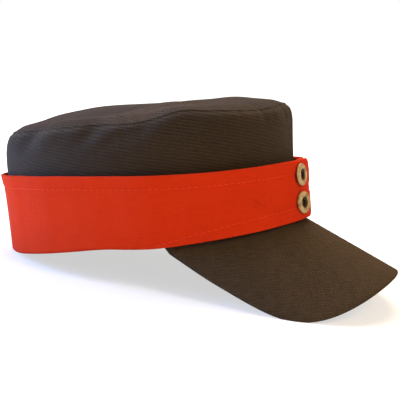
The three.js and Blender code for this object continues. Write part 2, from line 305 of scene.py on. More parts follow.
def lay_peak(u, v):
    share = 2 * u - 1
    spread = math.copysign(1 - (1 - abs(share)) ** PEAK_END_CROWDING, share)
    root = peak_root(share * PEAK_ROOT_END)
    edge = peak_edge(spread)
    rounded = PEAK_CORNER * bump((1 - abs(share)) / PEAK_CORNER_RUN)
    width = (edge - root).length - rounded
    distance, depth = peak_row(round(v * PEAK_ROWS), width)
    place = root + (edge - root).normalized() * distance
    unrolled = PEAK_ARCH * math.asin(place.y / PEAK_ARCH)
    return peak_point(place.x, place.y, depth), (place.x, unrolled)


peak_cloth = cut_cloth("peak_cloth", PEAK_COLUMNS, PEAK_ROWS, lay_peak)
sew_shut(peak_cloth)
bpy.ops.object.mode_set(mode="EDIT")
bpy.ops.mesh.select_all(action="SELECT")
bpy.ops.mesh.fill_holes(sides=0)
bpy.ops.mesh.normals_make_consistent(inside=False)
bpy.ops.object.mode_set(mode="OBJECT")

# %% [markdown]
# ## The crown's side
# The side is one strip of canvas, closed with a seam in front and sewn to the top panel along its upper
# edge. The seam pulls the cloth in, so it stands fullest a finger's width below, and it falls into soft
# dents and small puckers. The strip is laid as an open ring and Solidify then gives it the thickness.

# %% Heights of the crown
# Tables read from the front, in degrees: height in millimetres.
SEAM_HEIGHT = [(0, 80.8), (55, 80.9), (92, 79.6), (130, 79.2), (180, 79.4)]
FLAP_LOWER = [
    (0, 3), (30, 1.7), (55, -0.2), (75, -1.6), (84, -1.2), (95, 0), (111, -1), (140, -3), (180, -2.8),
]
FLAP_UPPER = [(0, 42.8), (30, 42.4), (55, 42.7), (75, 44.4), (92, 46.7), (111, 49), (140, 50.7), (180, 51.2)]
# Waves of the seam: middle and reach in degrees, rise in millimetres.
SEAM_WAVES = [(-80, 12, -2.1), (-61, 8, 2.2), (-27, 16, -2.5)]
# How far the side stands out behind and in front, at shares of its height.
SWELL_BACK = [
    (0, 0), (0.25, 0.3), (0.5, 1), (0.65, 1.7), (0.75, 2.1), (0.84, 2), (0.91, 0.8), (0.96, -1.5), (1, -5),
]
SWELL_FRONT = [
    (0, 0), (0.25, 0.4), (0.5, 1.2), (0.65, 1.8), (0.75, 2.3), (0.84, 2.7), (0.91, 2.4), (0.96, 1.2),
    (1, -1.4),
]
FLAP_CLOTH = 2
FOOT_STEP_FROM = 85
FOOT_STEP_TO = 90


def seam_height(angle):
    wave = sum(rise * bump((angle - middle) / reach) for middle, reach, rise in SEAM_WAVES)
    return read(SEAM_HEIGHT, from_front(angle)) + wave


def crown_foot(angle):
    """Lower end of the side: on the peak in front, on the flap's fold behind."""
    away = from_front(angle)
    on_peak = peak_height(oval_point(min(away, FOOT_STEP_FROM), 0)) + SEAM_GAP
    on_fold = read(FLAP_LOWER, away) + FLAP_CLOTH + 2 * SEAM_GAP
    return mix(on_peak, on_fold, smooth((away - FOOT_STEP_FROM) / (FOOT_STEP_TO - FOOT_STEP_FROM)))


print("seam in front", round(seam_height(0), 1), "mm, behind", round(seam_height(180), 1), "mm")

# %% Dents and puckers of the side
# Soft dents: middle in degrees and millimetres, reach both ways, lean in degrees a millimetre, depth.
SIDE_DENTS = [
    (-158, 70, 8, 11, 0.2, 1.4),
    (-126, 74, 5.5, 8, 0.3, 3.7),
    (-113, 75, 4.5, 8, 0.4, -1.3),
    (-95.7, 74, 5.5, 7.5, 0.5, 3.4),
    (-86.5, 69, 4.5, 7, 0.6, 1.8),
    (-77.5, 72, 4.5, 6.5, 0.6, 1.8),
    (-62, 72, 6, 8, 0.5, 0.8),
    (-25, 74, 2.6, 7, 0.1, 0.8),
    (-16, 75, 2.4, 7, 0, -0.6),
    (-8, 75, 2.2, 7, 0, 0.8),
    (70, 71, 14, 16, 0, 1.8),
    (95, 72, 6, 10, -0.5, -0.7),
    (120, 69, 12, 17, 0, 2),
    (150, 71, 7, 11, -0.4, 1.2),
]
PUCKER_REACH = 7
PUCKER_DEPTH = 0.22
PUCKER_COUNT = 68
PUCKER_WANDER = 4
PUCKER_WANDER_SPREAD = 30
SLACK_DEPTH = 0.35
SLACK_SPREAD = 22
SLACK_RISE = 18
SLACK_FROM = 40
SLACK_RUN = 25
FRONT_SEAM_HALF = 1.3
FRONT_SEAM_DEPTH = 1.1
FRONT_SEAM_SWELL = 0.5
FRONT_SEAM_SWELL_HALF = 5


def round_noise(angle, spread, height):
    """Noise round the cap that meets itself at the back."""
    return noise.noise(Vector((*(oval_point(angle, 0) / spread), height)))


def seam_pucker(angle, below):
    """Small puckers along the seam of side and top, fading within a few millimetres of it."""
    wander = round_noise(angle, PUCKER_WANDER_SPREAD, 0) * PUCKER_WANDER
    wave = math.sin(2 * math.pi * (angle / 360 * PUCKER_COUNT + wander))
    return PUCKER_DEPTH * wave * bump(below / PUCKER_REACH)


def front_seam(angle):
    away = around_mm(angle)
    swell = FRONT_SEAM_SWELL * bump(away / FRONT_SEAM_SWELL_HALF)
    return swell - FRONT_SEAM_DEPTH * bump(away / FRONT_SEAM_HALF)


def side_out(angle, share, height):
    """How far the side stands out of the plain oval: its swell, dents, puckers and seams."""
    out = mix(read(SWELL_BACK, share), read(SWELL_FRONT, share), front_share(angle))
    for middle, rise, reach_round, reach_up, lean, depth in SIDE_DENTS:
        up = (height - rise) / reach_up
        turn = (angle - middle + 180) % 360 - 180 - lean * (height - rise)
        out -= depth * bump(turn / reach_round) * bump(up)
    slack = round_noise(angle, SLACK_SPREAD, height / SLACK_RISE) * SLACK_DEPTH
    out += slack * smooth((height - SLACK_FROM) / SLACK_RUN)
    return out + seam_pucker(angle, seam_height(angle) - height) + front_seam(angle)


print(len(SIDE_DENTS), "dents and", PUCKER_COUNT, "puckers")

# %% Lay the crown's side
SIDE_COLUMNS = 420
SIDE_ROWS = 58
SIDE_ROW_CROWDING = 1.35
CANVAS_SHEET = 0.9
CUT_EDGE_ROUND = 0.3
CUT_EDGE_ANGLE = math.radians(60)
# The seam allowance turned in above the side, from its edge: out, up.
SIDE_TURN = [(-0.5, 0.22), (-0.9, 0.28), (-1.2, 0.05), (-1.35, -0.6), (-1.4, -1.6), (-1.4, -4)]


def crown_row(v, rows, crowding, turned):
    """How far a row of the grid lies towards the seam, and its step out and up in what is turned in."""
    row = round(v * (rows + len(turned)))
    share = 1 - (1 - min(row / rows, 1)) ** crowding
    return share, *(turned[row - rows - 1] if row > rows else (0, 0))


def lay_side(u, v):
    angle = 180 - 360 * u
    share, turned_out, turned_up = crown_row(v, SIDE_ROWS, SIDE_ROW_CROWDING, SIDE_TURN)
    height = mix(crown_foot(angle), seam_height(angle), share)
    out = side_out(angle, share, height)
    along = height - turned_out
    return level(angle, out + turned_out, height + turned_up), (around_mm(angle), along)


def give_thickness(piece):
    """Thickens an open cloth inwards and rounds its cut edges."""
    wall = piece.modifiers.new("thickness", "SOLIDIFY")
    wall.thickness = CANVAS_SHEET * MM
    wall.offset = -1
    round_edges(piece, CUT_EDGE_ROUND, segments=2, angle=CUT_EDGE_ANGLE)
    apply_all(piece)


crown_side_cloth = cut_cloth("crown_side_cloth", SIDE_COLUMNS, SIDE_ROWS + len(SIDE_TURN), lay_side)
sew_shut(crown_side_cloth)
give_thickness(crown_side_cloth)

# %% [markdown]
# ## The crown's top
# The top panel is an oval of the same canvas. It stays nearly flat, rolls down to the seam at its rim and
# has two soft folds on the wearer's right. The grid is wrapped round the middle, its inner edge drawn
# together to one point, and its UV map is the plain view from above, so that the threads run straight
# across the oval. An attribute marks the longer fold, where the colour is painted paler as a highlight of
# sheen.

# %% Lay the crown's top
TOP_MIDDLE = 89.1
TOP_FULL_BACK = 4.8
TOP_FULL_FRONT = 5.2
# Soft swells and hollows: ahead, to the left, reach, rise.
TOP_SWELLS = [
    (-25, 0, 30, 1.8), (-48, 20, 26, 1), (28, 10, 24, -1.1), (62, 18, 18, 0.8),
    (-2, -38, 16, 0.9), (-52, -46, 22, -1.4), (20, 52, 24, -1.2),
]
# Folds of the top: both ends of the ridge, half width, rise.
TOP_FOLDS = [((-2, -79), (48, -46), 5, 2.4), ((14, -66), (34, -38), 5, 0.6)]
TOP_COLUMNS = 420
TOP_ROWS = 50
TOP_ROW_CROWDING = 1.5
TOP_SLACK = 0.5
TOP_SLACK_LONG = 28
TOP_SLACK_WIDE = 20
TOP_SLACK_LAYER = 7
TOP_HELD = 6
TOP_RIM_IN = 1.32
TOP_RIM_UP = 0.3
# The roll along the rim and the hollow inside it are strongest on the wearer's right.
TOP_NEAR_MIDDLE = -100
TOP_NEAR_REACH = 45
TOP_NEAR_LEAST = 0.35
TOP_ROLL = 0.9
TOP_ROLL_SHARE = 0.93
TOP_ROLL_HALF = 0.045
TOP_ROLL_HELD = 30
TOP_HOLLOW = 1.5
TOP_HOLLOW_SHARE = 0.79
TOP_HOLLOW_HALF = 0.09
# The allowance turned down at the rim, from the rim: out, up.
TOP_TURN = [(-0.12, -0.22), (-0.2, -0.7), (-0.25, -1.6), (-0.3, -3), (-0.3, -5)]


def line_distance(point, start, end):
    """Distance of a point in the plan from the line between two others."""
    run = Vector(end) - Vector(start)
    way = point - Vector(start)
    share = min(max(way.dot(run) / run.length_squared, 0), 1)
    return (way - run * share).length


def lay_top(u, v):
    angle = 180 - 360 * u
    share, turned_out, turned_up = crown_row(v, TOP_ROWS, TOP_ROW_CROWDING, TOP_TURN)
    seam = seam_height(angle)
    rim = oval_point(angle, side_out(angle, 1, seam) - TOP_RIM_IN + turned_out)
    point = rim * share
    full = mix(TOP_FULL_BACK, TOP_FULL_FRONT, front_share(angle))
    height = mix(TOP_MIDDLE, seam + TOP_RIM_UP, share**full) + turned_up
    held = 1 - share**TOP_HELD
    near = mix(TOP_NEAR_LEAST, 1, bump(from_front(angle - TOP_NEAR_MIDDLE) / TOP_NEAR_REACH))
    roll = TOP_ROLL * bump((share - TOP_ROLL_SHARE) / TOP_ROLL_HALF) * (1 - share**TOP_ROLL_HELD)
    hollow = TOP_HOLLOW * bump((share - TOP_HOLLOW_SHARE) / TOP_HOLLOW_HALF)
    height += near * (roll - hollow)
    for x, y, reach, rise in TOP_SWELLS:
        height += rise * bump(math.hypot(point.x - x, point.y - y) / reach) * held
    for start, end, half_width, rise in TOP_FOLDS:
        height += rise * bump(line_distance(point, start, end) / half_width) * held
    slack = Vector((point.x / TOP_SLACK_LONG, point.y / TOP_SLACK_WIDE, TOP_SLACK_LAYER))
    height += noise.noise(slack) * TOP_SLACK * held
    height += seam_pucker(angle, (1 - share) * MEAN_RADIUS) * held
    return Vector((point.x, point.y, height)), (point.x, point.y)


crown_top_cloth = cut_cloth("crown_top_cloth", TOP_COLUMNS, TOP_ROWS + len(TOP_TURN), lay_top)
sew_shut(crown_top_cloth)
give_thickness(crown_top_cloth)

# %% Mark where the top is painted paler as a sheen highlight
# Along this line the top's colour is painted paler, as a highlight of sheen on the fold.
SHEEN_HIGHLIGHT_START = (2, -79)
SHEEN_HIGHLIGHT_END = (46, -55)
SHEEN_HIGHLIGHT_HALF = 9
painted_sheen = crown_top_cloth.data.attributes.new("painted_sheen", "FLOAT", "POINT")
lift_up = lay_down.inverted()
for k, vertex in enumerate(crown_top_cloth.data.vertices):
    place = (lift_up @ vertex.co).to_2d()
    painted_sheen.data[k].value = bump(line_distance(place, SHEEN_HIGHLIGHT_START, SHEEN_HIGHLIGHT_END) / SHEEN_HIGHLIGHT_HALF)
print("worn from", SHEEN_HIGHLIGHT_START, "to", SHEEN_HIGHLIGHT_END)

# %% [markdown]
# ## The turned-up flap
# The flap is one long strip of red cloth. Behind, it is sewn under the crown and folded up, so its lower
# edge is a round fold. In front it is free of the peak, and its edges are turned hems with a row of
# stitches. Each column of the grid goes once round the strip's cross-section, out, over and back inside.

# %% The flap's stand-off and relief
FLAP_FOLD = 2
FLAP_HEM_ROUND = 0.8
FLAP_CORNER = 9
FLAP_RIGHT_END = 6
FLAP_LEFT_END = 12
FLAP_TRAVEL = FLAP_RIGHT_END + 360 + FLAP_LEFT_END
FLAP_SEWN_FROM = 80
FLAP_SEWN_TO = 85
FLAP_LAP = 2.7
FLAP_LAP_RUN = 34
FLAP_FLARE = 5
FLAP_FRONT_POWER = 0.6
FOLD_BACK = 3.7
FOLD_FRONT = 6.8
RIM_BACK = 5.5
RIM_FRONT = 7.2
HEM = 8.7
LOWER_HEM = [(0, 8.6), (25, 8.4), (45, 7.6), (60, 5.6), (68, 3.6), (76, 1.6), (84, 0.6)]
HEM_STANDS = 0.4
HEM_EDGE = 0.8
HEM_FLARE = 1.5
HEM_FLARE_RUN = 60
STITCH_SINKS = 0.55
STITCH_HALF = 0.8
FACING_END = 33
# Ripples along the strip: length, start, height. They are weaker at the foot.
RIPPLES = [(61, 0.3, 0.5), (34, 1.7, 0.42), (17, 4.1, 0.16)]
RIPPLE_AT_FOOT = 0.35
# Creases of the outer face: middle in degrees and millimetres, half length, half width, turn, depth.
FLAP_CREASES = [(-36, 18.5, 10, 1.7, -32, 1.5), (-37, 23, 10, 3, -28, -1.1)]


def flap_angle(travel):
    return FLAP_RIGHT_END - travel


def flap_sewn(angle):
    return smooth((from_front(angle) - FLAP_SEWN_FROM) / (FLAP_SEWN_TO - FLAP_SEWN_FROM))


def flap_out(travel, share):
    """The outer face from the crown's oval, at a share of the flap's height."""
    front = front_share(flap_angle(travel)) ** FLAP_FRONT_POWER
    lap = FLAP_LAP * smooth(1 - travel / FLAP_LAP_RUN)
    fold = mix(FOLD_BACK, FOLD_FRONT, front)
    rim = mix(RIM_BACK, RIM_FRONT, front)
    return mix(fold, rim, share**FLAP_FLARE) + lap


def flap_end(travel):
    """Distance to the nearer end of the strip."""
    return math.radians(min(travel, FLAP_TRAVEL - travel)) * HALF_WIDTH


def lower_hem(angle):
    """Width of the hem at the free lower edge, which runs out where the fold begins."""
    return read(LOWER_HEM, from_front(angle))


def ripple(travel, share):
    along = around_mm(travel)
    wave = sum(size * math.sin(2 * math.pi * along / span + start) for span, start, size in RIPPLES)
    return wave * mix(RIPPLE_AT_FOOT, 1, share)


def hem_flare(travel, above):
    """The free lower hem leans outwards, off the peak, except at the flap's ends."""
    angle = flap_angle(travel)
    free = smooth(flap_end(travel) / HEM_FLARE_RUN) * (1 - flap_sewn(angle))
    return HEM_FLARE * smooth(1 - above / lower_hem(angle)) * free


def flap_relief(travel, height, low, high):
    """Hems, stitch rows, facing and creases on the outer face."""
    angle = flap_angle(travel)
    above = height - low
    below = high - height
    hem = lower_hem(angle)
    free = 1 - flap_sewn(angle)
    relief = HEM_STANDS * smooth((HEM - below) / HEM_EDGE + 1)
    relief -= STITCH_SINKS * bump((below - HEM) / STITCH_HALF)
    relief += HEM_STANDS * smooth((hem - above) / HEM_EDGE + 1) * free
    relief -= STITCH_SINKS * bump((above - hem) / STITCH_HALF) * free
    relief += HEM_STANDS * smooth(FACING_END - flap_end(travel)) * (travel < FLAP_TRAVEL / 2)
    for middle, rise, half_long, half_wide, turn, depth in FLAP_CREASES:
        across = around_mm(angle - middle)
        up = height - rise
        c = math.cos(math.radians(turn))
        s = math.sin(math.radians(turn))
        relief -= depth * bump((across * c + up * s) / half_long) * bump((up * c - across * s) / half_wide)
    return relief


# %% Lay the flap
FLAP_COLUMNS = 520
FLAP_WALL_ROWS = 44
FLAP_ARC = 5
FLAP_RIM_ARC = 6
FLAP_THIN_END = 1.2
FLAP_END_CROWDING = 0.06
# The free lower edge from inside: shares of the cloth inwards and of the hem's roundness upwards.
FREE_FOOT = [(1, 1), (0.8, 0.3), (0.5, 0)]


def flap_edges(travel):
    angle = flap_angle(travel)
    inside = max(FLAP_CORNER - flap_end(travel), 0)
    corner = FLAP_CORNER - math.sqrt(FLAP_CORNER**2 - inside**2)
    return read(FLAP_LOWER, from_front(angle)) + corner, read(FLAP_UPPER, from_front(angle)) - corner


def flap_face(travel, height):
    """Outer face at a height, with all its relief."""
    low, high = flap_edges(travel)
    share = (height - low) / (high - low)
    lean = hem_flare(travel, height - low)
    return flap_out(travel, share) + lean + ripple(travel, share) + flap_relief(travel, height, low, high)


def flap_section(travel):
    """One closed cross-section, as (out, height), from the lower edge up outside and down inside."""
    low, high = flap_edges(travel)
    sewn = flap_sewn(flap_angle(travel))
    end = min(flap_end(travel) / FLAP_THIN_END, 1)
    thin = math.sqrt(1 - (1 - end) ** 2)
    cloth = FLAP_CLOTH * thin
    fold = mix(FLAP_HEM_ROUND * thin, FLAP_FOLD, sewn)
    hem = FLAP_HEM_ROUND * thin
    rim = cloth / 2
    foot = flap_face(travel, low + fold)
    head = flap_face(travel, high - rim)
    section = []
    for k in range(FLAP_ARC):
        turn = math.pi / 2 * (k / FLAP_ARC - 1)
        section.append((foot - fold + fold * math.cos(turn), low + fold + fold * math.sin(turn)))
    heights = [mix(low + fold, high - rim, k / FLAP_WALL_ROWS) for k in range(FLAP_WALL_ROWS + 1)]
    outer = [flap_face(travel, height) for height in heights]
    section += list(zip(outer, heights))
    for k in range(1, FLAP_RIM_ARC):
        turn = math.pi * k / FLAP_RIM_ARC
        section.append((head - rim + rim * math.cos(turn), high - rim + rim * math.sin(turn)))
    for k in reversed(range(FLAP_WALL_ROWS + 1)):
        share = k / FLAP_WALL_ROWS
        lifted = max(heights[k], low + mix(hem, FLAP_CLOTH + SEAM_GAP, sewn))
        lean = hem_flare(travel, heights[k] - low)
        plain = flap_out(travel, share) + lean + ripple(travel, share) - FLAP_CLOTH
        section.append((mix(outer[k], plain, thin), lifted))
    free_foot = [(foot - inward * cloth, low + upward * hem) for inward, upward in FREE_FOOT]
    sewn_foot = [(-CANVAS, low + FLAP_CLOTH), (-CANVAS, low + FLAP_CLOTH / 2), (-CANVAS, low)]
    for (out, height), (under, beside) in zip(free_foot, sewn_foot):
        section.append((mix(out, under, sewn), mix(height, beside, sewn)))
    section.append(section[0])
    return section


FLAP_SECTION_STEPS = FLAP_ARC + 2 * (FLAP_WALL_ROWS + 1) + FLAP_RIM_ARC - 1 + len(FREE_FOOT)
flap_sections = {}


def lay_flap(u, v):
    travel = FLAP_TRAVEL * mix(u, (1 - math.cos(math.pi * u)) / 2, FLAP_END_CROWDING)
    if u not in flap_sections:
        section = flap_section(travel)
        walked = [0]
        for a, b in zip(section, section[1:]):
            walked.append(walked[-1] + math.dist(a, b))
        flap_sections[u] = section, walked
    section, walked = flap_sections[u]
    row = round(v * FLAP_SECTION_STEPS)
    return level(flap_angle(travel), *section[row]), (around_mm(travel), walked[row])


flap_red_cloth = cut_cloth("flap_red_cloth", FLAP_COLUMNS, FLAP_SECTION_STEPS, lay_flap)
sew_shut(flap_red_cloth)

# %% [markdown]
# ## Rows of stitches
# The hems are held by a row of stitches in thread of the same red. A stitch is a tiny round bar whose ends
# dip into the cloth. One is modelled from a sphere with few faces, and then copied along each row.

# %% Model one stitch and sew the rows
STITCH_LONG = 3.4
STITCH_STEP = 3.7
STITCH_THICK = 0.42
STITCH_PROUD = 0.06

deselect()
bpy.ops.mesh.primitive_uv_sphere_add(segments=6, ring_count=6, radius=0.5)
one_stitch = bpy.context.object
bpy.ops.transform.rotate(value=math.pi / 2, orient_axis="Y", center_override=(0, 0, 0))
bpy.ops.transform.resize(value=(STITCH_LONG, STITCH_THICK, STITCH_THICK))
bpy.ops.object.transform_apply(rotation=True, scale=True)
stitch_points = [v.co.copy() for v in one_stitch.data.vertices]
stitch_faces = [list(f.vertices) for f in one_stitch.data.polygons]
bpy.data.objects.remove(one_stitch)


def on_face(travel, height):
    return level(flap_angle(travel), flap_face(travel, height) + STITCH_PROUD, height)


def sew_row(name, rows):
    """Copies the stitch along rows of (travel, height) places on the flap's outer face."""
    points = []
    faces = []
    for row in rows:
        for (travel, height), (next_travel, next_height) in zip(row, row[1:]):
            a = on_face(travel, height)
            b = on_face(next_travel, next_height)
            ahead = (b - a).normalized()
            out = level(flap_angle(travel), 1, 0) - level(flap_angle(travel), 0, 0)
            across = out.cross(ahead).normalized()
            turn = Matrix((ahead, across, ahead.cross(across))).transposed()
            first = len(points)
            points += [on_table(a.lerp(b, 0.5) + turn @ p) for p in stitch_points]
            faces += [[first + k for k in face] for face in stitch_faces]
    mesh = bpy.data.meshes.new(name)
    mesh.from_pydata(points, [], faces)
    mesh.polygons.foreach_set("use_smooth", [True] * len(faces))
    print(name, len(faces) // len(stitch_faces), "stitches")
    return put_in_scene(name, mesh)


def hem_row(start, end, height_at):
    """Places one stitch apart along the flap, between two travels."""
    steps = int(around_mm(end - start) / STITCH_STEP)
    travels = [mix(start, end, k / steps) for k in range(steps + 1)]
    return [(travel, height_at(travel)) for travel in travels]


STITCH_START = 5
FREE_ROW_STOP = 4
upper_row = hem_row(STITCH_START, FLAP_TRAVEL - STITCH_START, lambda t: flap_edges(t)[1] - HEM)
FREE_RIGHT = FLAP_RIGHT_END + FLAP_SEWN_FROM - FREE_ROW_STOP
FREE_LEFT = FLAP_RIGHT_END + 360 - FLAP_SEWN_FROM + FREE_ROW_STOP


def above_lower_edge(travel):
    return flap_edges(travel)[0] + lower_hem(flap_angle(travel))


lower_rows = [
    hem_row(STITCH_START, FREE_RIGHT, above_lower_edge),
    hem_row(FREE_LEFT, FLAP_TRAVEL - STITCH_START, above_lower_edge),
]
flap_stitches = sew_row("flap_stitches", [upper_row, *lower_rows])

# %% [markdown]
# ## The horn buttons
# A button is turned from a slice of horn: a round rim, a dished middle and two holes for the thread. It
# starts as a cylinder whose upper face is inset step by step, first raised for the rim and then pushed
# down for the dish. A Bevel rounds its edges, two holes are cut with a Boolean, and a loop of thread runs
# through them. Both are then moved to their seat on the flap.

# %% Turn one button
BUTTON_RADIUS = 7.4
BUTTON_SHANK = 1.2
BUTTON_THICK = 1
BUTTON_DISH_RADIUS = 3.8
BUTTON_HOLE_RADIUS = 0.8
BUTTON_HOLE_SPACING = 3.4
BUTTON_ANGLE = -8.8
BUTTON_SIDES = 48
BUTTON_ROUND = 0.4
BUTTON_ROUND_ANGLE = math.radians(50)
BUTTON_SMOOTH_ANGLE = math.radians(40)
DRILL_SIDES = 20
DRILL_DEPTH = 4
FACING_UP = 0.9
# Name, height on the flap in millimetres, turn about the upright axis in degrees.
BUTTONS = [("button_upper", 32.8, -2), ("button_lower", 14.2, -10)]
# Steps from the rim of the upper face inwards: width of the step, then its rise.
BUTTON_STEPS = [(0.5, 0.4), (0.8, 0.3), (1.6, 0.05), (0.6, -0.2), (0.25, -0.9), (1.2, -0.2)]


def select_faces(piece, wanted):
    """Selects, in edit mode, the faces that a test on their middle and normal picks out."""
    bpy.ops.mesh.select_all(action="DESELECT")
    bpy.ops.object.mode_set(mode="OBJECT")
    for face in piece.data.polygons:
        face.select = wanted(face.center, face.normal)
    bpy.ops.object.mode_set(mode="EDIT")


def turn_button(name):
    deselect()
    bpy.ops.mesh.primitive_cylinder_add(
        vertices=BUTTON_SIDES, radius=BUTTON_RADIUS * MM, depth=BUTTON_THICK * MM,
        location=(0, 0, BUTTON_THICK / 2 * MM),
    )
    bpy.ops.object.transform_apply(location=True)
    disc = name_new(name)
    bpy.ops.object.mode_set(mode="EDIT")
    bpy.ops.mesh.select_mode(type="FACE")
    top = BUTTON_THICK * MM
    select_faces(disc, lambda middle, normal: normal.z > FACING_UP and middle.z > FACING_UP * top)
    for inset, rise in BUTTON_STEPS:
        bpy.ops.mesh.inset(thickness=inset * MM)
        bpy.ops.transform.translate(value=(0, 0, rise * MM))
    bpy.ops.object.mode_set(mode="OBJECT")
    round_edges(disc, BUTTON_ROUND, segments=3, angle=BUTTON_ROUND_ANGLE)
    drills = []
    for side in (-1, 1):
        bpy.ops.mesh.primitive_cylinder_add(
            vertices=DRILL_SIDES, radius=BUTTON_HOLE_RADIUS * MM, depth=DRILL_DEPTH * MM,
            location=(side * BUTTON_HOLE_SPACING / 2 * MM, 0, 0),
        )
        drill = bpy.context.object
        hole = disc.modifiers.new("hole", "BOOLEAN")
        hole.object = drill
        hole.operation = "DIFFERENCE"
        hole.solver = "EXACT"
        drills.append(drill)
    apply_all(disc)
    for drill in drills:
        bpy.data.objects.remove(drill)
    deselect()
    disc.select_set(True)
    bpy.context.view_layer.objects.active = disc
    bpy.ops.object.shade_smooth_by_angle(angle=BUTTON_SMOOTH_ANGLE)
    return disc


# %% Seat the buttons and thread them
THREAD_THICK = 1.1
THREAD_TALL = 1.05
THREAD_SINKS = 0.35


def button_seat(height, turn):
    """A matrix that turns a button's axis outwards and moves it to its place on the flap."""
    travel = FLAP_RIGHT_END - BUTTON_ANGLE
    low, high = flap_edges(travel)
    seat = flap_out(travel, (height - low) / (high - low)) + 2 * SEAM_GAP + BUTTON_SHANK
    place = level(BUTTON_ANGLE, seat, height)
    outward = level(BUTTON_ANGLE, seat + 1, height) - place
    heading = math.atan2(outward.y, outward.x) + math.radians(turn)
    spin = Matrix.Rotation(heading, 4, "Z") @ Matrix.Rotation(math.pi / 2, 4, "Y")
    return lay_down @ Matrix.Translation(place) @ spin @ Matrix.Scale(1 / MM, 4)


def thread_button(name):
    """A few turns of thread that run from hole to hole across the dish and down into both."""
    deselect()
    bpy.ops.mesh.primitive_torus_add(
        major_segments=36, minor_segments=8, major_radius=BUTTON_HOLE_SPACING / 2 * MM,
        minor_radius=THREAD_THICK / 2 * MM,
    )
    loop = name_new(name)
    bpy.ops.transform.rotate(value=math.pi / 2, orient_axis="X", center_override=(0, 0, 0))
    bpy.ops.transform.resize(value=(1, 1, THREAD_TALL))
    bpy.ops.transform.translate(value=(0, 0, -THREAD_SINKS * MM))
    bpy.ops.object.transform_apply(location=True, rotation=True, scale=True)
    bpy.ops.object.shade_smooth()
    return loop


button_pieces = []
thread_pieces = []
for node, height, turn in BUTTONS:
    seat = button_seat(height, turn)
    kinds = ((turn_button, "horn", button_pieces), (thread_button, "thread", thread_pieces))
    for make, kind, kept in kinds:
        piece = make(f"{node}_{kind}")
        piece.data.transform(seat)
        kept.append(piece)
    print(node, "at", [round(x, 4) for x in seat.translation])

# %% [markdown]
# ## Woven cloth as a node group
# Canvas and red cloth are both woven, so one node group draws the threads for both. It reads the place in
# the cut, in metres, and puts out the height of the threads and a shade that differs from thread to
# thread. Ribs run along the cut, finer threads cross them, and noise makes them uneven.

# %% Small helpers for nodes
def new_node(tree, kind, **settings):
    node = tree.nodes.new(kind)
    for name, value in settings.items():
        setattr(node, name, value)
    return node


def feed(tree, socket, value):
    """Links a socket to another one, or sets it to a plain value."""
    if isinstance(value, bpy.types.NodeSocket):
        tree.links.new(value, socket)
    else:
        socket.default_value = value


def set_inputs(tree, node, inputs):
    for name, value in inputs.items():
        feed(tree, node.inputs[name], value)


def calc(tree, operation, a, b=0.0):
    node = new_node(tree, "ShaderNodeMath", operation=operation)
    feed(tree, node.inputs[0], a)
    feed(tree, node.inputs[1], b)
    return node.outputs[0]


def mix_colours(tree, factor, a, b):
    """A colour between two others, each of them a plain value or a socket."""
    node = new_node(tree, "ShaderNodeMix", data_type="RGBA", clamp_factor=True)
    set_inputs(tree, node, {"Factor": factor, "A": a, "B": b})
    return node.outputs["Result"]


def new_material(name):
    material = bpy.data.materials.new(name)
    material.use_nodes = True
    return material, material.node_tree, material.node_tree.nodes["Principled BSDF"]


def stretched_noise(tree, vector, stretch, detail=2.0):
    scaled = new_node(tree, "ShaderNodeVectorMath", operation="MULTIPLY")
    feed(tree, scaled.inputs[0], vector)
    feed(tree, scaled.inputs[1], stretch)
    cloud = new_node(tree, "ShaderNodeTexNoise")
    set_inputs(tree, cloud, {"Vector": scaled.outputs[0], "Scale": 1.0, "Detail": detail})
    return cloud.outputs["Fac"]


def raised(tree, height, distance, strength=1.0):
    """The normal of a surface that a pattern raises."""
    relief = new_node(tree, "ShaderNodeBump")
    set_inputs(tree, relief, {"Height": height, "Distance": distance, "Strength": strength})
    return relief.outputs["Normal"]


# %% The weave group
WEAVE_INPUTS = [("Rib spacing", 0.0024), ("Thread spacing", 0.0011), ("Ribs", 0.6)]
# How many waves of noise go into a metre, along and across the ribs.
WOBBLE_WAVES = (25, 120, 1)
SLUB_WAVES = (150, 800, 1)
CROSS_SLUB_WAVES = (900, 70, 1)
PATCH_WAVES = (110, 330, 1)
SLUB_DETAIL = 3.0
WOBBLE = 0.0016
SLUB_SHARE = 0.65
PATCH_FLOOR = 0.2
FINE_THREADS = 0.5
RIB_SHADE = 0.9


